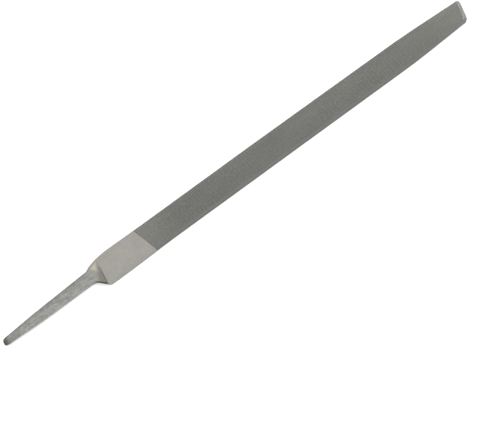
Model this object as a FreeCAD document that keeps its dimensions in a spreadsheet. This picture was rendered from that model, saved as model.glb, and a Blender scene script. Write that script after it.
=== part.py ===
"""Flat file for metalwork: a single steel forging, drawn as the three zones it is finished in.

tang      the forged spike that takes a handle, with the sloping shoulders
heel      the smooth ground stretch between the shoulders and the first teeth
cut_body  the stretch that carries the teeth, out to the point

Lengths are in mm. The sketches measure X from the shoulder towards the point, Y across the width and
Z up through the thickness, and each finished zone is then moved so that the origin is under the middle
of the whole file. The zones share their end faces and make one rigid piece.
"""
import FreeCAD, Part
import Sketcher
import os

DIMENSIONS = {
    # Overall sizes, from the shoulder
    "body_length": 200.0,
    "tang_length": 57.3,
    # Heel
    "heel_width": 13.9,
    "heel_thickness": 4.0,
    "heel_length": 24.7,
    "heel_corner_run": 8.0,
    "heel_corner_drop": 0.55,
    "heel_corner_radius": 60.0,
    # Toothed body: parallel at first, then tapered in width and in thickness
    "cut_width": 13.2,
    "taper_start": 170.0,
    "taper_width": 12.2,
    "taper_radius": 560.0,
    "point_width": 9.6,
    "point_thickness": 3.2,
    "thinning_start": 150.0,
    "point_setback": 0.9,
    "point_corner": 1.6,
    "nose_length": 0.6,
    "nose_drop": 0.3,
    # Teeth: cut_lead is how far a row runs forward over half the heel's width
    "cut_lead": 2.8,
    "tooth_pitch": 0.65,
    "tooth_depth": 0.2,
    "tooth_front": 0.15,
    # Shoulders, in plan
    "shoulder_run": 5.7,
    "shoulder_fillet": 5.0,
    "upper_slope_run": 4.9,
    "upper_slope_side": 5.3,
    "tang_root_run": 6.9,
    "tang_root_upper": 4.25,
    "tang_root_lower": 1.5,
    # Shoulders, from the side: a small step down from the ground face, then a slope to the tang
    "step_run": 0.5,
    "step_drop": 0.28,
    "slope_run": 9.5,
    "root_drop": 0.5,
    # Tang
    "tip_width": 3.2,
    "tip_drop": 0.95,
    "tip_bevel_run": 1.6,
    "tip_bevel_drop": 1.5,
    "tip_corner": 0.9,
    "tang_bevel": 0.6,
}

ON_AXIS = (0.0, None)
CLEARANCE = 1.0
TOLERANCE = 1e-4


def make_sheet(doc):
    """The driving dimensions, one aliased number in each row."""
    sheet = doc.addObject("Spreadsheet::Sheet", "dims")
    for row, (alias, value) in enumerate(DIMENSIONS.items(), start=1):
        sheet.set(f"A{row}", alias)
        sheet.set(f"B{row}", str(value))
        sheet.setAlias(f"B{row}", alias)
    doc.recompute()
    return sheet


class Lengths:
    """Lengths read from the sheet, each as its value and the expression that binds to it."""

    def __init__(self, sheet):
        self.sheet = sheet

    def value(self, alias):
        return float(self.sheet.get(alias))

    def of(self, alias, factor=1.0):
        return self.value(alias) * factor, f"dims.{alias} * {factor}"

    def total(self, *parts):
        value = sum(part[0] for part in parts)
        text = " + ".join(part[1] for part in parts)
        return value, text


def origin_plane(body, role):
    """One of the body's own origin planes."""
    for feature in body.Origin.OriginFeatures:
        if feature.Role == role:
            return feature
    raise LookupError(role)


def arc_through(start, end, radius, outward):
    """An arc between two corners of an outline walked anticlockwise, and whether it runs backwards."""
    a = FreeCAD.Vector(start[0][0], start[1][0], 0)
    b = FreeCAD.Vector(end[0][0], end[1][0], 0)
    chord = b - a
    half = chord.Length / 2
    rise = radius - (radius**2 - half**2) ** 0.5
    right = FreeCAD.Vector(chord.y, -chord.x, 0).normalize()
    side = 1 if outward else -1
    middle = (a + b) * 0.5 + right * rise * side
    return Part.ArcOfCircle(a, middle, b), not outward


def draw_outline(sketch, corners, arcs=None):
    """A closed outline, anticlockwise, with every corner and radius bound to the sheet.

    corners  (x, y) pairs of lengths; ON_AXIS puts a corner on that axis
    arcs     the side that leaves corner number N as {N: (radius, True if it bulges outward)}
    """
    arcs = arcs or {}
    ends = []
    for number, start in enumerate(corners):
        end = corners[(number + 1) % len(corners)]
        if number in arcs:
            radius, outward = arcs[number]
            shape, backwards = arc_through(start, end, radius[0], outward)
            edge = sketch.addGeometry(shape, False)
            row = sketch.addConstraint(Sketcher.Constraint("Radius", edge, radius[0]))
            sketch.setExpression(f"Constraints[{row}]", radius[1])
        else:
            a = FreeCAD.Vector(start[0][0], start[1][0], 0)
            b = FreeCAD.Vector(end[0][0], end[1][0], 0)
            edge = sketch.addGeometry(Part.LineSegment(a, b), False)
            backwards = False
        ends.append((edge, 2, 1) if backwards else (edge, 1, 2))
    for number, (edge, first, _) in enumerate(ends):
        before, _, last = ends[number - 1]
        sketch.addConstraint(Sketcher.Constraint("Coincident", before, last, edge, first))
        for direction, axis, length in (
            ("DistanceX", -2, corners[number][0]),
            ("DistanceY", -1, corners[number][1]),
        ):
            value, text = length
            if text is None:
                sketch.addConstraint(Sketcher.Constraint("PointOnObject", edge, first, axis))
                continue
            rule = Sketcher.Constraint(direction, -1, 1, edge, first, value)
            row = sketch.addConstraint(rule)
            sketch.setExpression(f"Constraints[{row}]", text)


def new_sketch(body, name, role, height=None):
    """A sketch on one of the body's origin planes, raised by height where one is given."""
    sketch = body.newObject("Sketcher::SketchObject", name)
    sketch.AttachmentSupport = [(origin_plane(body, role), "")]
    sketch.MapMode = "FlatFace"
    if height is not None:
        sketch.setExpression("AttachmentOffset.Base.z", height[1])
    return sketch


def new_pad(body, name, sketch, length):
    pad = body.newObject("PartDesign::Pad", name)
    pad.Profile = sketch
    pad.Type = "Length"
    pad.setExpression("Length", length[1])
    return pad


def edges_where(shape, test):
    """Names of the edges whose two ends both pass the test."""
    return [
        f"Edge{number}"
        for number, edge in enumerate(shape.Edges, start=1)
        if all(test(vertex.Point) for vertex in edge.Vertexes)
    ]


def make_tang(doc, size):
    """The shoulders and the tang: a plan outline, thinned from both faces, with its long edges bevelled."""
    body = doc.addObject("PartDesign::Body", "tang")
    plan = new_sketch(body, "TangPlan", "XY_Plane")
    tip = size.of("tang_length", -1)
    draw_outline(
        plan,
        [
            (ON_AXIS, size.of("heel_width", -0.5)),
            (ON_AXIS, size.total(size.of("heel_width", 0.5), size.of("heel_corner_drop", -1))),
            (size.of("upper_slope_run", -1), size.of("upper_slope_side")),
            (size.of("tang_root_run", -1), size.of("tang_root_upper")),
            (tip, size.of("tip_width", 0.5)),
            (tip, size.of("tip_width", -0.5)),
            (size.of("shoulder_run", -1), size.of("tang_root_lower", -1)),
        ],
    )
    new_pad(body, "TangBlank", plan, size.of("heel_thickness"))
    doc.recompute()

    thinning = new_sketch(body, "TangSides", "XZ_Plane")
    top = size.of("heel_thickness")
    beyond = size.total(tip, (-CLEARANCE, f"{-CLEARANCE}"))
    above = size.total(top, (CLEARANCE, f"{CLEARANCE}"))
    below = (-CLEARANCE, f"{-CLEARANCE}")
    bevel = size.total(tip, size.of("tip_bevel_run"))
    draw_outline(
        thinning,
        [
            (ON_AXIS, top),
            (ON_AXIS, above),
            (beyond, above),
            (beyond, size.total(top, size.of("tip_bevel_drop", -1))),
            (tip, size.total(top, size.of("tip_bevel_drop", -1))),
            (bevel, size.total(top, size.of("tip_drop", -1))),
            (size.of("slope_run", -1), size.total(top, size.of("root_drop", -1))),
            (size.of("step_run", -1), size.total(top, size.of("step_drop", -1))),
        ],
    )
    draw_outline(
        thinning,
        [
            (ON_AXIS, ON_AXIS),
            (size.of("step_run", -1), size.of("step_drop")),
            (size.of("slope_run", -1), size.of("root_drop")),
            (bevel, size.of("tip_drop")),
            (tip, size.of("tip_bevel_drop")),
            (beyond, size.of("tip_bevel_drop")),
            (beyond, below),
            (ON_AXIS, below),
        ],
    )
    pocket = body.newObject("PartDesign::Pocket", "TangThinning")
    pocket.Profile = thinning
    pocket.Type = "ThroughAll"
    pocket.SideType = "Symmetric"
    doc.recompute()

    run = size.value("shoulder_run")
    lower = size.value("tang_root_lower")
    hollow = edges_where(
        pocket.Shape,
        lambda p: abs(p.x + run) < TOLERANCE and abs(p.y + lower) < TOLERANCE,
    )
    fillet = body.newObject("PartDesign::Fillet", "ShoulderHollow")
    fillet.Base = (pocket, hollow)
    fillet.setExpression("Radius", "dims.shoulder_fillet")
    doc.recompute()

    end = -size.value("tang_length")
    corners = edges_where(fillet.Shape, lambda p: abs(p.x - end) < TOLERANCE)
    upright = [
        name
        for name in corners
        if abs(fillet.Shape.getElement(name).tangentAt(0).z) > 0.9
    ]
    rounding = body.newObject("PartDesign::Fillet", "TipCorners")
    rounding.Base = (fillet, upright)
    rounding.setExpression("Radius", "dims.tip_corner")
    doc.recompute()

    root = -size.value("tang_root_run") + TOLERANCE
    start = -size.value("tang_length") + size.value("tip_bevel_run") - TOLERANCE
    long_edges = [
        f"Edge{number}"
        for number, edge in enumerate(rounding.Shape.Edges, start=1)
        if edge.BoundBox.XLength > size.value("tang_length") / 2
        and edge.BoundBox.XMin > start
        and edge.BoundBox.XMax < root + size.value("tang_root_run")
    ]
    bevels = body.newObject("PartDesign::Chamfer", "TangBevels")
    bevels.Base = (rounding, long_edges)
    bevels.setExpression("Size", "dims.tang_bevel")
    return body


def seam(size, half_width, top):
    """The two ends of the line where the teeth begin: it leads one way on the top, the other below."""
    turn = 1 if top else -1
    lead = size.value("cut_lead") * half_width / (size.value("heel_width") / 2)
    share = lead / size.value("cut_lead")
    near = size.total(size.of("heel_length"), size.of("cut_lead", -turn * share))
    far = size.total(size.of("heel_length"), size.of("cut_lead", turn * share))
    return near, far


def make_heel(doc, size):
    """The ground heel, in two layers, because the teeth of the two faces begin on mirrored slants."""
    body = doc.addObject("PartDesign::Body", "heel")
    half = size.of("heel_thickness", 0.5)
    side = size.of("heel_width", 0.5)
    for name, height, top in (("HeelBelow", None, False), ("HeelAbove", half, True)):
        upper_end, lower_end = seam(size, side[0], top)
        sketch = new_sketch(body, name + "Plan", "XY_Plane", height)
        draw_outline(
            sketch,
            [
                (ON_AXIS, size.of("heel_width", -0.5)),
                (lower_end, size.of("heel_width", -0.5)),
                (upper_end, side),
                (size.of("heel_corner_run"), side),
                (ON_AXIS, size.total(side, size.of("heel_corner_drop", -1))),
            ],
            {3: (size.of("heel_corner_radius"), True)},
        )
        new_pad(body, name, sketch, half)
        doc.recompute()
    return body


def tooth_rows(size):
    """The toothed top face from the side: each tooth slopes up from the tang side and drops steeply."""
    pitch = size.value("tooth_pitch")
    depth = size.value("tooth_depth")
    front = size.value("tooth_front")
    middle = size.value("heel_thickness") / 2
    thinning = size.value("thinning_start")
    reach = size.value("body_length")
    loss = (size.value("heel_thickness") - size.value("point_thickness")) / 2
    begin = size.value("heel_length")

    def crest(x):
        past = max(0.0, x - thinning) / (reach - thinning)
        return 2 * middle - loss * past**2

    rows = []
    x = begin
    while x < reach + size.value("cut_lead") + pitch:
        rows.append(FreeCAD.Vector(x, 0, crest(x) - depth))
        rows.append(FreeCAD.Vector(x + pitch - front, 0, crest(x)))
        x += pitch
    last = rows[-1].x
    floor = [FreeCAD.Vector(last, 0, middle), FreeCAD.Vector(begin, 0, middle)]
    return rows + floor


def make_tooth_block(doc, size, name, top):
    """Rows of teeth on one face, square to nothing: they run forward across the width by cut_lead."""
    side = size.value("heel_width") / 2
    lead = size.value("cut_lead")
    turn = 1 if top else -1
    profile = tooth_rows(size)
    wire = Part.makePolygon(profile + profile[:1])
    face = Part.Face(wire)
    face.translate(FreeCAD.Vector(-lead, side, 0))
    block = face.extrude(FreeCAD.Vector(2 * lead, -2 * side, 0))
    if turn < 0:
        axis_point = FreeCAD.Vector(0, 0, size.value("heel_thickness") / 2)
        block.rotate(axis_point, FreeCAD.Vector(1, 0, 0), 180)
    rows = doc.addObject("Part::Feature", name)
    rows.Shape = block
    return rows


def make_cut_plan(doc, size):
    """The toothed body in plan, with a bevelled nose at the point."""
    body = doc.addObject("PartDesign::Body", "CutPlan")
    sketch = new_sketch(body, "CutOutline", "XY_Plane")
    start = size.of("cut_lead", -2)
    reach = size.of("body_length")
    lower_reach = size.total(reach, size.of("point_setback", -1))
    radius = size.of("taper_radius")
    draw_outline(
        sketch,
        [
            (size.total(size.of("heel_length"), start), size.of("cut_width", -0.5)),
            (size.of("taper_start"), size.of("taper_width", -0.5)),
            (lower_reach, size.of("point_width", -0.5)),
            (reach, size.of("point_width", 0.5)),
            (size.of("taper_start"), size.of("taper_width", 0.5)),
            (size.total(size.of("heel_length"), start), size.of("cut_width", 0.5)),
        ],
        {1: (radius, True), 3: (radius, True)},
    )
    pad = new_pad(body, "CutBlank", sketch, size.of("heel_thickness"))
    doc.recompute()

    corner_x = size.value("body_length") - size.value("point_setback")
    corner = edges_where(pad.Shape, lambda p: abs(p.x - corner_x) < TOLERANCE and p.y < 0)
    fillet = body.newObject("PartDesign::Fillet", "PointCorner")
    fillet.Base = (pad, corner)
    fillet.setExpression("Radius", "dims.point_corner")
    doc.recompute()
    return body


def make_nose(doc, size):
    """The point from the side, as thick as the file, drawn in to a bevel along the end."""
    top = size.value("heel_thickness")
    middle = top / 2
    reach = size.value("body_length")
    back = size.value("nose_length")
    edge = size.value("point_thickness") / 2 - size.value("nose_drop")
    slope = size.value("nose_drop") / back
    run = (middle - edge) / slope
    width = size.value("point_width")
    profile = [
        FreeCAD.Vector(0, 0, 0),
        FreeCAD.Vector(reach - run, 0, 0),
        FreeCAD.Vector(reach, 0, middle - edge),
        FreeCAD.Vector(reach + CLEARANCE, 0, middle - edge),
        FreeCAD.Vector(reach + CLEARANCE, 0, middle + edge),
        FreeCAD.Vector(reach, 0, middle + edge),
        FreeCAD.Vector(reach - run, 0, top),
        FreeCAD.Vector(0, 0, top),
    ]
    face = Part.Face(Part.makePolygon(profile + profile[:1]))
    along = FreeCAD.Vector(size.value("point_setback") / width, 1, 0)
    side = size.value("heel_width")
    face.translate(FreeCAD.Vector(0, width / 2, 0) - along * (width / 2 + side))
    nose = doc.addObject("Part::Feature", "Nose")
    nose.Shape = face.extrude(along * 2 * side)
    return nose


def make_cut_body(doc, size):
    """The toothed body: the rows of both faces, trimmed to the outline and to the bevelled point."""
    above = make_tooth_block(doc, size, "TeethAbove", True)
    below = make_tooth_block(doc, size, "TeethBelow", False)
    rows = doc.addObject("Part::Fuse", "Teeth")
    rows.Base = above
    rows.Tool = below
    trimmed = doc.addObject("Part::Common", "TrimmedTeeth")
    trimmed.Base = make_cut_plan(doc, size)
    trimmed.Tool = rows
    body = doc.addObject("Part::Common", "cut_body")
    body.Base = trimmed
    body.Tool = make_nose(doc, size)
    return body


def place(zone):
    """Moves a finished zone so that the origin lies under the middle of the whole file."""
    zone.setExpression("Placement.Base.x", "(dims.tang_length - dims.body_length) / 2")


def check(doc, zones):
    """Stops before anything is written if an object failed or a zone isn't one sound solid."""
    for thing in doc.Objects:
        bad = [state for state in thing.State if state in ("Invalid", "Error")]
        if bad:
            raise RuntimeError(f"{thing.Name}: {bad}")
    for zone in zones:
        shape = zone.Shape
        if shape.isNull() or not shape.isValid() or len(shape.Solids) != 1:
            raise RuntimeError(f"{zone.Label}: not one valid solid")


def main():
    doc = FreeCAD.newDocument("flat_file")
    size = Lengths(make_sheet(doc))
    zones = [make_tang(doc, size), make_heel(doc, size), make_cut_body(doc, size)]
    doc.recompute()
    for zone in zones:
        place(zone)
    doc.recompute()
    check(doc, zones)
    os.makedirs("parts", exist_ok=True)
    for zone in zones:
        zone.Shape.exportStep(f"parts/{zone.Label}.step")
        box = zone.Shape.BoundBox
        print(zone.Label, f"{zone.Shape.Volume:.1f} mm3", box)


main()
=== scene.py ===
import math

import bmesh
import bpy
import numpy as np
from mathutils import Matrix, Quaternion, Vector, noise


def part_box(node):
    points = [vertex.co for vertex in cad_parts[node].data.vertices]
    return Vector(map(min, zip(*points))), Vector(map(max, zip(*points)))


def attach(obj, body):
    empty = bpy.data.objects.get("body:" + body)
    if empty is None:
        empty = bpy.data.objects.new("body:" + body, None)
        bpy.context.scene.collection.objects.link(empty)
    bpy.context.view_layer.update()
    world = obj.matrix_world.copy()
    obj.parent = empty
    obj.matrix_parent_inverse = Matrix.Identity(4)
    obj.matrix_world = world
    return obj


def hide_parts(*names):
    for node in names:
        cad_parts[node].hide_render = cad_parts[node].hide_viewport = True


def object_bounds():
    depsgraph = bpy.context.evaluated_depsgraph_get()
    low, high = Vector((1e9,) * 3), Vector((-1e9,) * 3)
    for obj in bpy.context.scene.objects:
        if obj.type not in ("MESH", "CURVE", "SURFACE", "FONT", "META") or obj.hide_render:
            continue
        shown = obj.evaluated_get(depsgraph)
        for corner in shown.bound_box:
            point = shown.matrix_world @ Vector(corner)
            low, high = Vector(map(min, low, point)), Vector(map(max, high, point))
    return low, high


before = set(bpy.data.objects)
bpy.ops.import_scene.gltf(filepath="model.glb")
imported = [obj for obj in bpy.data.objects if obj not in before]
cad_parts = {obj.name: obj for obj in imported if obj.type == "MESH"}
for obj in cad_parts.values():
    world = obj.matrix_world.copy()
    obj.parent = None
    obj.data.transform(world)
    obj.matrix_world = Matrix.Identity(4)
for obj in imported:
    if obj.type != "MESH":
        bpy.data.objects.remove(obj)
cad_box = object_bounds()

# A flat file for metalwork, lying on a pale floor.
#
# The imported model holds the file's size and place as three zones of one forging. Each zone is shown here by
# a finer piece of the same shape: the tang with its forged shoulders and scale, the ground heel, and the
# toothed body with both cuts of teeth on its faces and one cut on its sides.
#
# Shapes are worked out in mm, with X from the shoulder towards the point, Y across the width and Z up from
# the underside; to_frame moves them to the model's own frame, in metres.

MM = 0.001
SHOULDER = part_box("heel")[0].x / MM
HALF_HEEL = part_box("heel")[1].y / MM
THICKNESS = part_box("heel")[1].z / MM
TANG_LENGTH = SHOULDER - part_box("tang")[0].x / MM
BODY_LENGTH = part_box("cut_body")[1].x / MM - SHOULDER
MIDDLE = THICKNESS / 2

# Plan: how far each side of the heel and the toothed body draws in from the heel's full width, given as
# places along the file and the inset there. The -Y side narrows where the teeth begin, the +Y side further
# along, and both taper to the point. The first and last places lie past the ends.
LOWER_INSET = ((-20, 0), (11, 0), (33, 0.58), (171, 0.82), (210, 2.68))
UPPER_INSET = ((-20, 0), (8, 0.03), (18, 0.2), (85, 0.25), (171, 0.87), (210, 2.65))
INSET_BLEND = 7.0
CORNER_DROP, CORNER_RUN = 0.55, 7.5
LOWER_CORNER_DROP, LOWER_CORNER_RUN = 0.06, 1.5

# Point: thinner than the heel, bevelled on both faces, its end a little askew and one corner rounded
THINNING_START, THINNING = 150.0, 0.4
NOSE_LENGTH, NOSE_DROP = 0.6, 0.3
POINT_SETBACK, POINT_CORNER = 0.9, 2.0
TURN_LENGTH = 5.0

# Teeth: rows of the upcut lean 22 degrees off square, the overcut crosses them the other way and notches
# their crests. Places along a row are counted in overcut rows, and rows in upcut rows from the seam.
TOOTH_START = 24.4
UPCUT_LEAN = math.tan(math.radians(22))
OVERCUT_LEAN = math.tan(math.radians(42))
TOOTH_PITCH, OVERCUT_PITCH = 0.65, 0.8
TOOTH_DEPTH, OVERCUT_DEPTH = 0.2, 0.13
TOOTH_FRONT = 0.24
NOTCH_HALF = 0.3
NOTCH = (0.0, NOTCH_HALF, 1 - NOTCH_HALF)
GULLET_NOTCH = 0.35
ROW_GAP, RUN_OUT = 0.15, 0.02
NOTCH_GAP = 0.12
TOOTH_JITTER = 0.006
JITTER_SEED = 11
SEAM_MIDDLE = (TOOTH_START, 0.0, MIDDLE)

# Narrow sides of the toothed body: they begin EDGE outside and below the faces. Their rows lean down from
# one face and stop near the other, and the end takes a tone of its own END_TONE_START before the point.
EDGE, EDGE_DIP = 0.1, 0.1
SIDE_DEPTH, SIDE_LEAN = 0.1, 0.82
WALL_BEND = 0.9
WALL_CREST_TONE, WALL_GULLET_TONE = 0.06, 0.0
END_TONE, END_TONE_START, END_TONE_RUN = 0.3, 2.0, 1.0

# Tang and shoulders: each side in plan and the upper face seen from the side, as places along the file and
# the outline there. A start that has no sign is a distance back from the shoulder, towards the tip.
LOWER_SHOULDER = LOWER_CORNER_DROP - HALF_HEEL
UPPER_SHOULDER = HALF_HEEL - CORNER_DROP
LOWER_TANG = ((-TANG_LENGTH, -1.52), (-50, -1.63), (-43, -1.92), (-35, -2.08), (-22, -1.97), (-5.9, -1.66))
LOWER_PLAN = LOWER_TANG + ((-2.5, -4.82), (0, LOWER_SHOULDER))
UPPER_TANG = ((-TANG_LENGTH, 1.75), (-50, 2.24), (-40, 3.0), (-30, 3.48), (-11, 4.28), (-6.9, 4.33))
UPPER_PLAN = UPPER_TANG + ((-4.9, 5.4), (0, UPPER_SHOULDER))
TANG_SIDE = ((-TANG_LENGTH, 2.5), (-55.4, 3.05), (-9.5, 3.5), (-0.4, 3.74), (0.25, THICKNESS))
HOLLOW_BLEND, CORNER_BLEND, STEP_BLEND = 2.7, 0.35, 0.08
SHOULDER_BLEND = 0.4
TIP_ROUND = 0.7

# Upper face of the shoulders: by the +Y side it is nearly flush with the heel and runs into a small flat
FLUSH_SIDE, FLUSH_SLOPE, FLUSH_FALL = 2.9, 0.08, 0.14
FACET = ((-0.3, 5.9, THICKNESS), (-6.0, 4.2, 3.58), (-2.0, 1.3, 3.69))

# Forging: a crowned face, rounded long edges and the slow wave that hammering leaves
CROWN, CROWN_START, CROWN_RUN = 0.22, 5.0, 10.0
TANG_ROUND, HEEL_ROUND, ROUND_ROOM = 0.45, 0.1, 0.3
ROUND_START, ROUND_RUN = 1.0, 8.0
WAVE, WAVE_START, WAVE_RUN = 0.035, 2.0, 6.0
WAVES_PER_MM = (0.35, 0.6, 0.6)
WAVE_SEED = 7

# Painted shade and highlight of the upper face reach TANG_TOP on the tang, HEEL_TOP on the heel, below
# THICKNESS.
# The step under the heel is painted dark as shade. Its shade fades out on both sides and towards +Y, and
# towards -Y it is fuller and reaches further back.
TANG_TOP, HEEL_TOP = 1.2, 0.5
STEP_MIDDLE = -0.1
STEP_SHADE, HEEL_STEP_SHADE = 0.35, 2.8
STEP_SHADE_TOP, STEP_SHADE_FADE = 2.9, 1.2
STEP_REACH_LEAST, STEP_REACH_MOST, STEP_REACH_RUN = 0.8, 3.5, 2.5
STEP_FILL, STEP_FILL_RUN = 2.5, 3.0
STEP_AHEAD = 0.6

# The strip along the hollow of the -Y shoulder: it widens, and its shade goes from none to faint to full
HOLLOW_WIDTH, HOLLOW_WIDENING, HOLLOW_WIDENING_START = 0.15, 0.45, -5.3
HOLLOW_FAINT, HOLLOW_START, HOLLOW_RUN = 0.5, -7.5, 2.0
HOLLOW_FULL_START, HOLLOW_FULL_RUN = -5.6, 1.4
HOLLOW_FADE = 0.3

# Painted shade at the tip and along the +Y side of the tang, and a painted highlight on the +Y shoulder, a
# triangle
TIP_SHADE, TIP_SHADE_START, TIP_SHADE_RUN = 0.66, 53.2, 2.9
UPPER_SHADE, UPPER_SHADE_START, UPPER_SHADE_RUN = 0.28, 0.3, 2.4
UPPER_SHADE_END, UPPER_SHADE_FADE = 6.0, 3.0
HIGHLIGHT_PATCH = ((-0.7, 5.2), (-5.0, 4.1), (-2.1, 1.3))
HIGHLIGHT_PATCH_EDGE, HIGHLIGHT_PATCH_FILL = 1.6, 0.45

# Heel: painted shade makes its sides darker than its faces, and dark beside the -Y shoulder's corner
CORNER_SHADE, CORNER_SHADE_REACH = 0.4, 0.9
WALL_TONE_START, WALL_TONE_RUN = 0.01, 0.03


def to_frame(points):
    """Points in mm from the shoulder, as points in metres in the model's frame."""
    moved = np.array(points, dtype=float)
    moved[:, 0] += SHOULDER
    return moved * MM


def clamp(value):
    return np.clip(value, 0.0, 1.0)


def ease(value):
    share = clamp(value)
    return share * share * (3 - 2 * share)


def rise(value, start, run):
    """0 up to start, 1 from a run past it, and smooth between."""
    return ease((value - start) / run)


def blend(start, end, share):
    return start + (end - start) * share


# Where soft_line reads its line around a place, as shares of its reach, and what each reading counts
READINGS = np.linspace(-1, 1, 9)
WEIGHTS = 1.0 - 0.6 * READINGS**2


def soft_line(x, corners, reach):
    """The height at x of a line through the corners, each corner rounded over reach on both sides."""
    xs, ys = zip(*corners)
    spread = np.asarray(x)[..., None] + READINGS * np.asarray(reach)[..., None]
    return np.sum(np.interp(spread, xs, ys) * WEIGHTS, axis=-1) / WEIGHTS.sum()


# ---------------------------------------------------------------- plan and side shapes

def reach_out(x, side):
    """How far the heel and the toothed body reach at x to the -Y side (-1) or the +Y side (1)."""
    inset = UPPER_INSET if side > 0 else LOWER_INSET
    return HALF_HEEL - soft_line(x, inset, np.full(np.shape(x), INSET_BLEND))


def tip_rounding(x):
    """How much each side of the tang draws in round the corners of its tip."""
    left = TIP_ROUND * clamp(1 - (x + TANG_LENGTH) / TIP_ROUND)
    return TIP_ROUND - np.sqrt(TIP_ROUND**2 - left**2)


def low_edge(x):
    """The -Y side of the tang and heel: a sharp shoulder corner, a slope and a hollow."""
    reach = np.minimum(HOLLOW_BLEND, SHOULDER_BLEND * np.abs(x))
    tang = soft_line(x, LOWER_PLAN, reach) + tip_rounding(x)
    heel = -reach_out(x, -1) + LOWER_CORNER_DROP * clamp(1 - x / LOWER_CORNER_RUN) ** 2
    return np.where(x < 0, tang, heel)


def high_edge(x):
    """The +Y side of the tang and heel: the heel's corner curves into a shallow shoulder."""
    reach = np.minimum(CORNER_BLEND, SHOULDER_BLEND * np.abs(x))
    tang = soft_line(x, UPPER_PLAN, reach) - tip_rounding(x)
    heel = reach_out(x, 1) - CORNER_DROP * clamp(1 - x / CORNER_RUN) ** 2
    return np.where(x < 0, tang, heel)


def crest(x):
    """The height of the toothed face at x, where it thins towards the point."""
    return THICKNESS - THINNING * clamp((x - THINNING_START) / (BODY_LENGTH - THINNING_START)) ** 2


def facet_height(x, y):
    """The plane of the small flat that runs down from the heel to the tang over the +Y shoulder."""
    a, b, c = (np.array(corner) for corner in FACET)
    normal = np.cross(b - a, c - a)
    return a[2] - ((x - a[0]) * normal[0] + (y - a[1]) * normal[1]) / normal[2]


def tang_height(x, y):
    """The height of the upper surface of the tang and heel at x and y."""
    base = soft_line(x, TANG_SIDE, np.full(np.shape(x), STEP_BLEND))
    low, high = low_edge(x), high_edge(x)
    from_middle = (2 * y - low - high) / (high - low)
    crown = CROWN * rise(-x, CROWN_START, CROWN_RUN) * from_middle**2
    flush = THICKNESS + FLUSH_SLOPE * np.minimum(x, 0) - FLUSH_FALL * np.maximum(FLUSH_SIDE - y, 0)
    raised = np.maximum(flush, facet_height(x, y))
    return np.minimum(np.maximum(base - crown, raised), THICKNESS)


def seam_x(y, side):
    """Where the teeth begin at y on the upper face (side 1) or the lower face (side -1)."""
    return TOOTH_START - side * UPCUT_LEAN * y


# ---------------------------------------------------------------- meshes

class Shell:
    """A closed mesh made of lines of points, neighbouring lines being joined by triangles."""

    def __init__(self):
        self.points = []
        self.faces = []
        self.tone = []

    def line(self, points, tone=0.0):
        """Adds a line of points, and how bright each one's colour is painted, finish and painted shade alike.
        Returns their numbers.
        """
        start = len(self.points)
        self.points.extend(map(tuple, points))
        self.tone.extend(np.broadcast_to(tone, len(points)))
        return list(range(start, len(self.points)))

    def join(self, a, b, keys_a, keys_b):
        """Fills the gap between two lines, stepping along whichever has the nearer next key."""
        i = j = 0
        while i < len(a) - 1 or j < len(b) - 1:
            next_a = keys_a[i + 1] if i < len(a) - 1 else math.inf
            next_b = keys_b[j + 1] if j < len(b) - 1 else math.inf
            if next_a <= next_b:
                self.faces.append((a[i], a[i + 1], b[j]))
                i += 1
            else:
                self.faces.append((a[i], b[j + 1], b[j]))
                j += 1

    def join_rows(self, a, b):
        """Joins two lines with the same number of points."""
        self.join(a, b, range(len(a)), range(len(b)))

    def loft(self, rings):
        """Joins closed rings with the same number of points by squares."""
        for a, b in zip(rings, rings[1:]):
            for n in range(len(a)):
                m = (n + 1) % len(a)
                self.faces.append((a[n], a[m], b[m], b[n]))

    def cap(self, ring, middle):
        """Closes a ring by triangles that meet at a point inside it."""
        centre = self.line([middle])[0]
        for n, point in enumerate(ring):
            self.faces.append((ring[n - 1], point, centre))

    def build(self, name, smooth_angle=None):
        """The shell as an object, its faces turned outward."""
        mesh = bpy.data.meshes.new(name)
        mesh.from_pydata(to_frame(self.points), [], self.faces)
        tone = mesh.attributes.new("tone", "FLOAT", "POINT")
        tone.data.foreach_set("value", np.array(self.tone, dtype=np.float32))
        piece = bpy.data.objects.new(name, mesh)
        bpy.context.collection.objects.link(piece)
        turn_outward(mesh)
        if smooth_angle:
            mesh.polygons.foreach_set("use_smooth", [True] * len(mesh.polygons))
            mesh.set_sharp_from_angle(angle=math.radians(smooth_angle))
        return piece


def turn_outward(mesh):
    edit = bmesh.new()
    edit.from_mesh(mesh)
    bmesh.ops.recalc_face_normals(edit, faces=edit.faces)
    edit.to_mesh(mesh)
    edit.free()


# ---------------------------------------------------------------- tang and heel

ACROSS = 41
ROUND_STEPS = 3
WALL_STEPS = 3
SMOOTH_ANGLE = 24

# Stations along the tang, closer together at its tip and on the shoulders, and shares of the way from the
# shoulder to the seam along the heel, closer together at the step
TIP_END, SHANK_END = 2 - TANG_LENGTH, -9.0
TANG_STATIONS = np.concatenate([
    np.linspace(-TANG_LENGTH, TIP_END, 13),
    np.linspace(TIP_END, SHANK_END, 91)[1:],
    np.linspace(SHANK_END, 0, 61)[1:],
])
HEEL_SHARES = np.append(np.linspace(0, 0.04, 5), np.linspace(0.07, 1, 33))


def edge_round(x):
    """The radius of the long edges at x: small on the ground heel, larger on the forged tang."""
    room = ROUND_ROOM * (high_edge(x) - low_edge(x))
    return np.minimum(blend(HEEL_ROUND, TANG_ROUND, rise(-x, ROUND_START, ROUND_RUN)), room)


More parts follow.
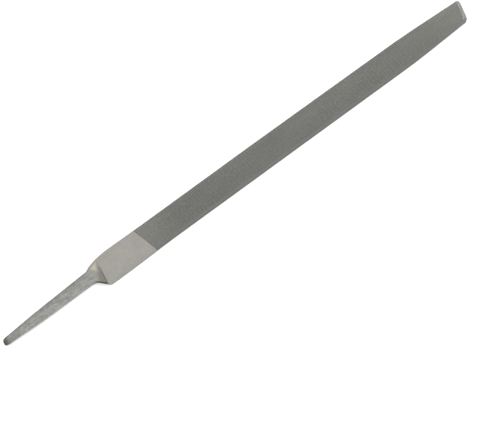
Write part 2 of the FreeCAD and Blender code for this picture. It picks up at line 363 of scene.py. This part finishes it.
def face_line(ends, side):
    """One face of a ring from the -Y wall to the +Y wall, with its two rounded edges."""
    share = np.linspace(0, 1, ACROSS)
    x = blend(ends[0], ends[1], share)
    radius = edge_round(x)
    y = blend(low_edge(ends[0]) + radius[0], high_edge(ends[1]) - radius[-1], share)
    z = tang_height(x, y)
    turn = np.radians(90) * np.arange(ROUND_STEPS, 0, -1) / ROUND_STEPS
    low = [(x[0], y[0] - radius[0] * math.sin(a), z[0] - radius[0] * (1 - math.cos(a))) for a in turn]
    high = [(x[-1], y[-1] + radius[-1] * math.sin(a), z[-1] - radius[-1] * (1 - math.cos(a))) for a in turn]
    line = np.array(low + list(zip(x, y, z)) + high[::-1])
    if side < 0:
        line[:, 2] = THICKNESS - line[:, 2]
    return line


def wall(lead, other, lean, edge):
    """Points on one side of a ring, from the face whose teeth begin further forward to the other face."""
    shares = np.linspace(0, WALL_BEND, WALL_STEPS + 1)[1:]
    x = lead[0] - lean * shares / WALL_BEND
    return np.column_stack([x, edge(x), blend(lead[2], other[2], shares)])


def section(upper_ends, lower_ends, lean=0.0):
    """A closed ring. Each pair says where one of its faces meets the -Y wall and the +Y wall."""
    upper = face_line(upper_ends, 1)
    lower = face_line(lower_ends, -1)
    low_wall = wall(upper[0], lower[0], lean, low_edge)
    high_wall = wall(lower[-1], upper[-1], lean, high_edge)
    return np.vstack([upper, high_wall[::-1], lower[::-1], low_wall[::-1]])


def roughen(ring):
    """Moves a tang ring's points by the slow, uneven wave that hammering leaves."""
    moved = []
    for x, y, z in ring:
        size = WAVE * float(rise(-x, WAVE_START, WAVE_RUN))
        shift = noise.noise_vector(Vector(np.multiply((x, y, z), WAVES_PER_MM)))
        moved.append((x, y + size * shift.y, z + size * shift.z))
    return moved


def step_shade(x, y):
    """Darkness of the step under the heel: none at the +Y side, deeper and wider towards the -Y side."""
    below = STEP_SHADE_TOP - y
    reach = blend(STEP_REACH_LEAST, STEP_REACH_MOST, clamp(below / STEP_REACH_RUN))
    fill = blend(1, STEP_FILL, clamp(-y / STEP_FILL_RUN))
    back = clamp((1 + (x - STEP_MIDDLE) / reach) * fill)
    ahead = clamp(1 - (x - STEP_MIDDLE) / STEP_AHEAD)
    return STEP_SHADE * ease(below / STEP_SHADE_FADE) * np.minimum(back, ahead)


def hollow_shade(x, y):
    """Darkness of the strip along the -Y shoulder's hollow: wider and deeper towards the heel."""
    width = HOLLOW_WIDTH + HOLLOW_WIDENING * rise(x, HOLLOW_WIDENING_START, HOLLOW_RUN)
    faint = HOLLOW_FAINT * rise(x, HOLLOW_START, HOLLOW_RUN)
    depth = blend(faint, 1, rise(x, HOLLOW_FULL_START, HOLLOW_FULL_RUN))
    return depth * ease((low_edge(x) + width - y) / HOLLOW_FADE)


def upper_shade(x, y):
    """Darkness of the tang towards its +Y side, which ends before the shoulders."""
    middle = (low_edge(x) + high_edge(x)) / 2
    sideways = rise(y - middle, UPPER_SHADE_START, UPPER_SHADE_RUN)
    return UPPER_SHADE * sideways * rise(-x, UPPER_SHADE_END, UPPER_SHADE_FADE)


def depth_inside(x, y, corners):
    """How far inside a triangle each point lies, its corners given anticlockwise."""
    depths = []
    for number, (ax, ay) in enumerate(corners):
        bx, by = corners[(number + 1) % len(corners)]
        length = math.hypot(bx - ax, by - ay)
        depths.append(((bx - ax) * (y - ay) - (by - ay) * (x - ax)) / length)
    return np.min(depths, axis=0)


def tang_tone(ring):
    """Painted shade in the step, the hollow, at the tip and along the +Y side, and a painted highlight on the
    +Y shoulder.
    """
    x, y, z = np.array(ring).T
    upper_face = z > THICKNESS - TANG_TOP
    step = step_shade(x, y) * upper_face
    tip = TIP_SHADE * rise(-x, TIP_SHADE_START, TIP_SHADE_RUN)
    dark = np.max([step, hollow_shade(x, y), tip, upper_shade(x, y)], axis=0)
    highlight = ease(depth_inside(x, y, HIGHLIGHT_PATCH) / HIGHLIGHT_PATCH_EDGE + HIGHLIGHT_PATCH_FILL) * upper_face
    return highlight - dark


def heel_tone(ring):
    """Painted shade of the heel: above 0 in the step's shade and at the -Y shoulder's corner, -1 on its
    shaded sides.
    """
    x, y, z = ring.T
    on_wall = rise(MIDDLE - np.abs(z - MIDDLE), WALL_TONE_START, WALL_TONE_RUN)
    by_shoulder = on_wall * clamp(1 - x / CORNER_SHADE_REACH) * (y < 0)
    step = HEEL_STEP_SHADE * step_shade(x, y) * (z > THICKNESS - HEEL_TOP)
    return step + (1 + CORNER_SHADE) * by_shoulder - on_wall


def make_tang():
    noise.seed_set(WAVE_SEED)
    shell = Shell()
    rings = []
    for x in TANG_STATIONS:
        ring = roughen(section((x, x), (x, x)))
        rings.append(shell.line(ring, tang_tone(ring)))
    shell.loft(rings)
    shell.faces.append(tuple(rings[0]))
    shell.faces.append(tuple(rings[-1]))
    return shell.build("forged_tang", SMOOTH_ANGLE)


def make_heel():
    shell = Shell()
    near = seam_x(float(reach_out(TOOTH_START, 1)), 1)
    far = seam_x(-float(reach_out(TOOTH_START, -1)), 1)
    rings = []
    for share in HEEL_SHARES:
        ring = section((far * share, near * share), (near * share, far * share), SIDE_LEAN * share)
        rings.append(shell.line(ring, heel_tone(ring)))
    shell.loft(rings)
    shell.faces.append(tuple(rings[0]))
    shell.cap(rings[-1], SEAM_MIDDLE)
    return shell.build("ground_heel", SMOOTH_ANGLE)


# ---------------------------------------------------------------- toothed body

# Points of a plan loop along each side, along its last stretch, round the rounded corner and along the end
SIDE_STATIONS, TURN_STATIONS, ARC_STATIONS, END_STATIONS = 120, 16, 10, 24
BEFORE_SEAM = 1.0

# How many points before the rounded corner its side's direction is read, the gap left before its arc, and
# how far each way, in stations, the wall's direction is read
APPROACH, ARC_GAP, TANGENT_STEP = 6, 0.05, 0.2


def rounded_corner(before, corner, after, radius):
    """Points of an arc that replaces a corner, tangent to both of its sides."""
    into = (before - corner) / np.linalg.norm(before - corner)
    away = (after - corner) / np.linalg.norm(after - corner)
    half = math.acos(float(np.clip(into @ away, -1, 1))) / 2
    middle = corner + (into + away) / np.linalg.norm(into + away) * radius / math.sin(half)
    start = corner + into * radius / math.tan(half) - middle
    end = corner + away * radius / math.tan(half) - middle
    points = []
    for share in np.linspace(0, 1, ARC_STATIONS):
        spoke = blend(start, end, share)
        points.append(middle + spoke / np.linalg.norm(spoke) * radius)
    return points


def plan_loop(inset, nose):
    """The toothed body in plan, drawn in by inset at the sides and by nose at the point.

    It runs from before the first teeth along the -Y side, round the point and back along the +Y side.
    Every such loop has the same number of points, so that two of them match point for point.
    """
    start = TOOTH_START - UPCUT_LEAN * HALF_HEEL - BEFORE_SEAM
    turn = BODY_LENGTH - TURN_LENGTH

    def side(sign, last):
        x = np.append(np.linspace(start, turn, SIDE_STATIONS), np.linspace(turn, last, TURN_STATIONS)[1:])
        return np.column_stack([x, sign * (reach_out(x, sign) - inset)])

    lower = side(-1, BODY_LENGTH - nose - POINT_SETBACK)
    upper = side(1, BODY_LENGTH - nose)
    arc = rounded_corner(lower[-APPROACH], lower[-1], upper[-1], POINT_CORNER)
    kept = lower[lower[:, 0] < arc[0][0] - ARC_GAP]
    filled = np.linspace(kept[-1], arc[0], len(lower) - len(kept) + 1)[1:]
    end = np.linspace(arc[-1], upper[-1], END_STATIONS)[1:]
    return np.vstack([kept, filled, arc[1:], end, upper[:-1][::-1]])


def at(loop, station):
    """The point of a loop at a station, which may lie between two of its points."""
    numbers = np.arange(len(loop))
    return np.column_stack([np.interp(station, numbers, values) for values in loop.T])


def row_start(level):
    """Where a line of the upcut crosses the axis."""
    return TOOTH_START + level * TOOTH_PITCH


def row_levels(last):
    """The lines of one face's upcut: a crest where each row begins, and just past it the gullet that it
    drops into. They end just short of the corner where the rows run out.

    Returns where the lines are, counted in rows from the seam, and which of them are gullets.
    """
    rows = np.arange(math.ceil(last))
    levels = np.sort(np.concatenate([rows, rows + TOOTH_FRONT]))
    levels = np.append(levels[levels < last - ROW_GAP], last - RUN_OUT)
    gullets = levels % 1 > TOOTH_FRONT / 2
    gullets[-1] = False
    return levels, gullets


def place_in_row(level, y, side):
    """How many overcut rows along a line of the upcut a point at y lies."""
    return (side * row_start(level) - (UPCUT_LEAN + OVERCUT_LEAN) * y) / -OVERCUT_PITCH


def notch_places(first, last):
    """The places of each notch's bottom and corners between the two ends of a line."""
    whole = np.arange(math.floor(first), math.ceil(last) + 1)
    places = np.sort((whole[:, None] + np.array(NOTCH)).ravel())
    return places[(places > first + NOTCH_GAP) & (places < last - NOTCH_GAP)]


def tooth_drop(gullet, place):
    """How far below the crest a point lies: in a gullet or on a crest, notched by the overcut."""
    phase = place % 1
    notch = OVERCUT_DEPTH * (1 - clamp(np.minimum(phase, 1 - phase) / NOTCH_HALF))
    return np.where(gullet, TOOTH_DEPTH + GULLET_NOTCH * notch, notch)


def tooth_line(level, gullet, places, side, dice):
    """The points of one line of the upcut at some places along it, and their tone: light on worn crests,
    darker with depth as painted shade.
    """
    start_x = row_start(level)
    y = (places * OVERCUT_PITCH + side * start_x) / (UPCUT_LEAN + OVERCUT_LEAN)
    x = start_x - side * UPCUT_LEAN * y
    drop = tooth_drop(gullet, places) if level > 0 else np.zeros(len(places))
    jitter = dice.normal(0, TOOTH_JITTER, len(places)) * (level > 0)
    z = crest(x) - drop - np.abs(jitter)
    near_end = clamp((x - BODY_LENGTH + END_TONE_START) / END_TONE_RUN)
    tone = blend(1 - drop / TOOTH_DEPTH, END_TONE, near_end)
    return np.column_stack([x, y, MIDDLE + side * (z - MIDDLE)]), tone


def make_face(shell, rim, side, dice):
    """One toothed face. Its last line is short and has no notches.

    Returns its end points on the rim twice, as (numbers, stations, gullet or not): along the -Y side and
    along the +Y side, each from the seam to the point. The seam's own line comes last.
    """
    rows_at = (rim[:, 0] + side * UPCUT_LEAN * rim[:, 1] - TOOTH_START) / TOOTH_PITCH
    peak = int(np.argmax(rows_at))
    numbers = np.arange(len(rim))
    levels, gullets = row_levels(rows_at[peak])
    low_at = np.interp(levels, rows_at[:peak + 1], numbers[:peak + 1])
    high_at = np.interp(levels, rows_at[peak:][::-1], numbers[peak:][::-1])
    first = place_in_row(levels, at(rim, low_at)[:, 1], side)
    last = place_in_row(levels, at(rim, high_at)[:, 1], side)
    lines, keys = [], []
    for number, level in enumerate(levels):
        inner = notch_places(first[number], last[number]) if number < len(levels) - 1 else []
        places = np.concatenate([[first[number]], inner, [last[number]]])
        lines.append(shell.line(*tooth_line(level, gullets[number], places, side, dice)))
        keys.append(places)
    for a, b, keys_a, keys_b in zip(lines, lines[1:], keys, keys[1:]):
        shell.join(a, b, keys_a, keys_b)
    return (
        ([line[0] for line in lines], low_at, gullets),
        ([line[-1] for line in lines], high_at, gullets),
        lines[0],
    )


def nose_share(loop, station):
    """0 along the sides, rising to 1 at the bevelled end."""
    x, y = at(loop, station).T
    skew = POINT_SETBACK * clamp(0.5 - y / (2 * reach_out(BODY_LENGTH, 1)))
    return clamp((x + skew - BODY_LENGTH + NOSE_LENGTH) / NOSE_LENGTH)


def plain_share(loop, station):
    """0 where the wall has teeth, rising to 1 halfway along the bevel, from where it is plain."""
    return clamp(2 * nose_share(loop, station))


def edge_height(loop, station):
    """How high the upper edge of the wall stands: just under the rim, and lower at the bevelled end."""
    share = nose_share(loop, station)
    return crest(at(loop, station)[:, 0]) - blend(EDGE, NOSE_DROP, share)


def wall_points(loop, station, gullet, height):
    """Points on the wall at some stations, drawn in where a gullet of the wall's own teeth runs."""
    place = at(loop, station)
    ahead = at(loop, station + TANGENT_STEP) - at(loop, station - TANGENT_STEP)
    inward = np.column_stack([-ahead[:, 1], ahead[:, 0]]) / np.linalg.norm(ahead, axis=1)[:, None]
    depth = SIDE_DEPTH * gullet * (1 - plain_share(loop, station))
    return np.column_stack([place + inward * depth[:, None], height])


def wall_tone(loop, station, gullet):
    """Tone of the wall's own teeth, their gullets painted a little darker as shade; the teeth stop short of
    the plain end.
    """
    side = blend(WALL_CREST_TONE, WALL_GULLET_TONE, gullet)
    return blend(side, END_TONE, plain_share(loop, station))


def leaned(loop, station):
    """Stations a little nearer the seam, for the far ends of the wall's leaning rows."""
    low = loop[:, 1] < 0
    numbers = np.arange(len(loop))
    x = at(loop, station)[:, 0]
    back = x - SIDE_LEAN * clamp((BODY_LENGTH - TURN_LENGTH - x) / TURN_LENGTH)
    if station[0] < low.sum():
        return np.interp(back, loop[low, 0], numbers[low])
    return np.interp(back, loop[~low, 0][::-1], numbers[~low][::-1])


def make_toothed_body():
    shell = Shell()
    dice = np.random.default_rng(JITTER_SEED)
    rim = plan_loop(EDGE, NOSE_LENGTH)
    outer = plan_loop(0.0, 0.0)
    edges = []
    seams = []
    for side in (1, -1):
        low, high, seam = make_face(shell, rim, side, dice)
        stations = np.concatenate([low[1], high[1][::-1]])
        gullets = np.concatenate([low[2], high[2][::-1]]).astype(float)
        dip = EDGE_DIP * gullets * (1 - nose_share(outer, stations))
        height = MIDDLE + side * (edge_height(outer, stations) - dip - MIDDLE)
        points = wall_points(outer, stations, gullets, height)
        edge = shell.line(points, wall_tone(outer, stations, gullets))
        shell.join_rows(low[0] + high[0][::-1], edge)
        edges.append((edge, stations, gullets))
        seams.append(seam)
    middle = join_walls(shell, outer, *edges)
    upper, lower = edges[0][0], edges[1][0]
    ring = seams[0] + [upper[-1], middle[-1], lower[-1]] + seams[1][::-1] + [lower[0], middle[0], upper[0]]
    shell.cap(ring, SEAM_MIDDLE)
    return shell.build("toothed_body")


def join_walls(shell, loop, upper, lower):
    """Fills the wall between its upper and lower edges, with a line between them from side to side.

    On the -Y side the rows of the wall run down from the upper edge to that line, near the lower edge. On
    the +Y side they run up from the lower edge to the line, near the upper edge.
    """
    turn = BODY_LENGTH - TURN_LENGTH / 2
    before = (upper[1] < len(loop) / 2) & (at(loop, upper[1])[:, 0] < turn)
    after = (lower[1] > len(loop) / 2) & (at(loop, lower[1])[:, 0] < turn)
    start, end = leaned(loop, upper[1][before]), leaned(loop, lower[1][after])
    round_point = np.arange(math.ceil(start[-1]) + 1, math.floor(end[0]))
    stations = np.concatenate([start, round_point, end])
    gullets = np.concatenate([upper[2][before], np.zeros(len(round_point)), lower[2][after]])
    share = np.interp(stations, (start[-1], end[0]), (1 - WALL_BEND, WALL_BEND))
    top = edge_height(loop, stations)
    points = wall_points(loop, stations, gullets, blend(THICKNESS - top, top, share))
    middle = shell.line(points, wall_tone(loop, stations, gullets))
    upper_keys = np.concatenate([upper[1][before], round_point, end])
    lower_keys = np.concatenate([start, round_point, lower[1][after]])
    shell.join(upper[0], middle, upper[1], upper_keys)
    shell.join(middle, lower[0], lower_keys, lower[1])
    return middle


# ---------------------------------------------------------------- materials

# Where a tint or a change of brightness starts and ends along the file, in mm from the shoulder
CREST_GLINT_FADE_START, CREST_GLINT_FADE_END = 30, 42
POINT_LIGHTER_START = 168
TIP_DARK_END, TIP_DARK_START = -54, -44
SHOULDER_TINT_START, SHOULDER_TINT_END = -6, -4
FLOOR_GLOW = 0.28


def add(tree, kind, inputs=None, **settings):
    """A shader node, with its settings and its inputs given as numbers or as other nodes' outputs."""
    node = tree.nodes.new("ShaderNode" + kind)
    for key, value in settings.items():
        setattr(node, key, value)
    for key, value in (inputs or {}).items():
        if isinstance(value, bpy.types.NodeSocket):
            tree.links.new(value, node.inputs[key])
        else:
            node.inputs[key].default_value = value
    return node


def new_material(name):
    material = bpy.data.materials.new(name)
    material.use_nodes = True
    material.node_tree.nodes.clear()
    return material, material.node_tree


def stretched(tree, scale, turn=0.0):
    """Coordinates in mm on the object, stretched by scale and turned about Z."""
    place = add(tree, "TexCoord").outputs["Object"]
    settings = {"Vector": place, "Scale": [s / MM for s in scale], "Rotation": (0, 0, math.radians(turn))}
    return add(tree, "Mapping", settings).outputs["Vector"]


def noise_value(tree, scale, detail=2.0, roughness=0.5, turn=0.0):
    vector = stretched(tree, scale, turn)
    inputs = {"Vector": vector, "Scale": 1.0, "Detail": detail, "Roughness": roughness}
    return add(tree, "TexNoise", inputs).outputs["Fac"]


def ramp(tree, value, start, end, low=0.0, high=1.0):
    """Value mapped from start..end to low..high, clamped."""
    inputs = {"Value": value, "From Min": start, "From Max": end, "To Min": low, "To Max": high}
    return add(tree, "MapRange", inputs).outputs["Result"]


def mixed(tree, share, first, second, way="MIX"):
    node = add(tree, "Mix", data_type="RGBA", blend_type=way)
    for socket, value in ((0, share), (6, first), (7, second)):
        if isinstance(value, bpy.types.NodeSocket):
            tree.links.new(value, node.inputs[socket])
        else:
            node.inputs[socket].default_value = value
    return node.outputs[2]


def shaded(tree, base, factor):
    """A colour made darker or brighter by a factor."""
    return mixed(tree, 1.0, base, factor, way="MULTIPLY")


def along(tree, start, end, low, high):
    """A value that changes from low to high between two distances from the shoulder, in mm."""
    place = add(tree, "TexCoord").outputs["Object"]
    x = add(tree, "SeparateXYZ", {"Vector": place}).outputs["X"]
    return ramp(tree, x, (SHOULDER + start) * MM, (SHOULDER + end) * MM, low, high)


def across(tree, start, end, low, high):
    """A value that changes from low to high between two distances from the axis, in mm."""
    place = add(tree, "TexCoord").outputs["Object"]
    y = add(tree, "SeparateXYZ", {"Vector": place}).outputs["Y"]
    return ramp(tree, y, start * MM, end * MM, low, high)


def tone_value(tree):
    return add(tree, "Attribute", attribute_name="tone").outputs["Fac"]


def finish_metal(tree, base, roughness, height, bump):
    """A metal surface from its colour and roughness, and from a height that is bump mm deep."""
    lift = add(tree, "Bump", {"Height": height, "Strength": 1.0, "Distance": bump * MM})
    inputs = {
        "Base Color": base,
        "Metallic": 1.0,
        "Roughness": roughness,
        "Normal": lift.outputs["Normal"],
    }
    shader = add(tree, "BsdfPrincipled", inputs)
    add(tree, "OutputMaterial", {"Surface": shader.outputs["BSDF"]})


def colour(red, green, blue):
    return (red, green, blue, 1.0)


def ground_steel():
    """The heel: satin steel with fine grinding marks along it and faint cloudy patches, its sides and step
    painted darker as shade.
    """
    material, tree = new_material("ground_steel")
    cool, warm = colour(0.322, 0.315, 0.287), colour(0.358, 0.341, 0.308)
    stained, scored = colour(0.29, 0.291, 0.268), colour(0.402, 0.387, 0.354)
    speckled = colour(0.25, 0.248, 0.232)
    side, shadow = colour(0.285, 0.283, 0.263), colour(0.10, 0.095, 0.085)

    marks = noise_value(tree, (0.35, 9.0, 9.0), detail=4.0, roughness=0.65)
    clouds = noise_value(tree, (0.13, 0.2, 0.2), detail=2.0, roughness=0.4)
    stains = noise_value(tree, (0.22, 0.3, 0.3), detail=3.0)
    grain = noise_value(tree, (1.2, 1.6, 1.6), detail=3.0, roughness=0.7)
    tone = tone_value(tree)
    base = mixed(tree, ramp(tree, clouds, 0.4, 0.6), cool, warm)
    base = mixed(tree, ramp(tree, stains, 0.4, 0.7, 0.0, 0.5), base, stained)
    base = mixed(tree, ramp(tree, marks, 0.3, 0.7, 0.0, 0.35), base, scored)
    base = mixed(tree, ramp(tree, grain, 0.48, 0.72, 0.0, 0.55), base, speckled)
    # Painted shade: the sides darker than the faces, and a painted shadow in the step and by the -Y
    # shoulder's corner
    base = mixed(tree, ramp(tree, tone, 0.0, -1.0), base, side)
    base = mixed(tree, ramp(tree, tone, 0.0, 1.0), base, shadow)
    rough = ramp(tree, marks, 0.3, 0.7, 0.36, 0.48)
    finish_metal(tree, base, rough, marks, 0.012)
    return material


def cut_steel():
    """The teeth: bright crests over gullets painted dark as shade, painted glints near the seam, painted
    shade across the width, faint patches and an uneven sheen.
    """
    material, tree = new_material("cut_steel")
    glinting_crest, plain_crest = colour(0.415, 0.41, 0.385), colour(0.3, 0.304, 0.28)
    gullet, speckled = colour(0.157, 0.159, 0.146), colour(0.19, 0.191, 0.177)

    clouds = noise_value(tree, (0.05, 0.2, 0.2), detail=4.0, roughness=0.6)
    grain = noise_value(tree, (2.5, 2.5, 2.5), detail=2.0)
    # Painted glints: the crests are brighter near the seam and fade to their plain colour further along
    glint_fade = along(tree, CREST_GLINT_FADE_START, CREST_GLINT_FADE_END, 0.0, 1.0)
    # Crests light as wear, gullets painted darker with depth as shade
    worn_and_shaded = mixed(tree, tone_value(tree), gullet, mixed(tree, glint_fade, glinting_crest, plain_crest))
    base = shaded(tree, worn_and_shaded, ramp(tree, clouds, 0.3, 0.7, 0.94, 1.06))
    base = mixed(tree, ramp(tree, grain, 0.5, 0.8, 0.0, 0.35), base, speckled)
    base = shaded(tree, base, along(tree, POINT_LIGHTER_START, BODY_LENGTH, 1.0, 1.14))
    # Painted shade: a little darker towards -Y and lighter towards +Y
    base = shaded(tree, base, across(tree, -6, 6, 0.96, 1.03))
    rough = ramp(tree, grain, 0.3, 0.7, 0.42, 0.56)
    finish_metal(tree, base, rough, grain, 0.01)
    return material


def forged_steel():
    """The tang: mottled grey scale over steel, with painted shade in its corners and at its tip and a painted
    highlight on the +Y shoulder.
    """
    material, tree = new_material("forged_steel")
    dark_scale, pale_scale = colour(0.235, 0.24, 0.229), colour(0.35, 0.347, 0.325)
    fleck, pit = colour(0.50, 0.50, 0.47), colour(0.17, 0.168, 0.155)
    shoulder = colour(0.315, 0.30, 0.265)
    painted_highlight, shadow = colour(0.48, 0.463, 0.375), colour(0.045, 0.04, 0.033)

    patches = noise_value(tree, (0.2, 0.6, 0.6), detail=5.0, roughness=0.62, turn=4)
    flecks = noise_value(tree, (0.6, 2.0, 2.0), detail=4.0, roughness=0.6, turn=4)
    pits = noise_value(tree, (2.2, 2.8, 2.8), detail=3.0)
    tone = tone_value(tree)
    base = mixed(tree, ramp(tree, patches, 0.38, 0.62), dark_scale, pale_scale)
    base = mixed(tree, ramp(tree, flecks, 0.54, 0.68, 0.0, 0.85), base, fleck)
    base = mixed(tree, ramp(tree, pits, 0.52, 0.68, 0.0, 0.75), base, pit)
    # Painted shade: a little darker towards the tip
    base = shaded(tree, base, along(tree, TIP_DARK_END, TIP_DARK_START, 0.9, 1.0))
    base = mixed(tree, along(tree, SHOULDER_TINT_START, SHOULDER_TINT_END, 0.0, 0.75), base, shoulder)
    # Painted highlight where the tone is above 0, painted shade where it is below
    base = mixed(tree, ramp(tree, tone, 0.0, 1.0), base, painted_highlight)
    base = mixed(tree, ramp(tree, tone, 0.0, -1.0), base, shadow)
    rough = ramp(tree, flecks, 0.3, 0.7, 0.42, 0.62)
    finish_metal(tree, base, rough, flecks, 0.05)
    return material


def pale_floor():
    """A plain pale sheet with a very faint unevenness, lit a little from below like a light table."""
    material, tree = new_material("pale_floor")
    clouds = noise_value(tree, (0.004, 0.004, 0.004), detail=2.0)
    base = mixed(tree, clouds, colour(0.68, 0.68, 0.68), colour(0.70, 0.70, 0.70))
    white = {"Emission Color": colour(1.0, 1.0, 1.0), "Emission Strength": FLOOR_GLOW}
    shader = add(tree, "BsdfPrincipled", {"Base Color": base, "Roughness": 0.8, **white})
    add(tree, "OutputMaterial", {"Surface": shader.outputs["BSDF"]})
    material.cycles.emission_sampling = "NONE"
    return material


# ---------------------------------------------------------------- stage

# The camera's direction, roll and lens, its distance in metres, and the point of the model's frame that it
# looks at, in mm
VIEW_AZIMUTH, VIEW_ELEVATION = 31.577, 58.099
VIEW_ROLL = -63.421
VIEW_LENS = 308.2
VIEW_DISTANCE = 1.8
AIM = (-1.986, -17.08, MIDDLE)

# The floor's half side and its gap under the file, in metres
FLOOR_REACH, FLOOR_GAP = 5.0, 0.0001
WORLD_STRENGTH = 0.9


def direction(azimuth, elevation):
    """The way to something seen at an azimuth, 0 being straight out along -Y, and an elevation."""
    a, e = math.radians(azimuth), math.radians(elevation)
    return Vector((math.sin(a) * math.cos(e), -math.cos(a) * math.cos(e), math.sin(e)))


def make_camera():
    data = bpy.data.cameras.new("camera")
    data.lens = VIEW_LENS
    data.clip_start, data.clip_end = 0.1, 20
    camera = bpy.data.objects.new("camera", data)
    bpy.context.collection.objects.link(camera)
    back = direction(VIEW_AZIMUTH, VIEW_ELEVATION)
    camera.location = Vector([place * MM for place in AIM]) + back * VIEW_DISTANCE
    level = (-back).to_track_quat("-Z", "Y")
    camera.rotation_mode = "QUATERNION"
    camera.rotation_quaternion = level @ Quaternion((0, 0, 1), math.radians(VIEW_ROLL))
    bpy.context.scene.camera = camera


def make_light(name, azimuth, elevation, distance, size, power):
    """A square soft light that faces the object."""
    data = bpy.data.lights.new(name, "AREA")
    data.size = size
    data.energy = power
    light = bpy.data.objects.new(name, data)
    bpy.context.collection.objects.link(light)
    away = direction(azimuth, elevation)
    light.location = away * distance
    light.rotation_mode = "QUATERNION"
    light.rotation_quaternion = (-away).to_track_quat("-Z", "Y")


def make_floor():
    corners = [(FLOOR_REACH * x, FLOOR_REACH * y, 0) for x, y in ((-1, -1), (1, -1), (1, 1), (-1, 1))]
    mesh = bpy.data.meshes.new("floor")
    mesh.from_pydata(corners, [], [(0, 1, 2, 3)])
    floor = bpy.data.objects.new("floor", mesh)
    bpy.context.collection.objects.link(floor)
    floor.location.z = cad_box[0].z - FLOOR_GAP
    mesh.materials.append(pale_floor())


def make_world():
    """White light from all round, with colours shown as they are."""
    world = bpy.data.worlds.new("soft_white")
    world.use_nodes = True
    background = world.node_tree.nodes["Background"]
    background.inputs["Color"].default_value = colour(1.0, 1.0, 1.0)
    background.inputs["Strength"].default_value = WORLD_STRENGTH
    bpy.context.scene.world = world
    bpy.context.scene.view_settings.view_transform = "Standard"


def show(piece, node, material):
    """Puts a finished piece in place of its CAD node."""
    piece.data.materials.append(material)
    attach(piece, "root")
    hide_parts(node)


show(make_tang(), "tang", forged_steel())
show(make_heel(), "heel", ground_steel())
show(make_toothed_body(), "cut_body", cut_steel())
make_floor()
make_world()
make_light("key", azimuth=60, elevation=60, distance=1.6, size=1.4, power=24)
make_light("rim", azimuth=222, elevation=38, distance=1.6, size=1.0, power=1.5)
make_camera()
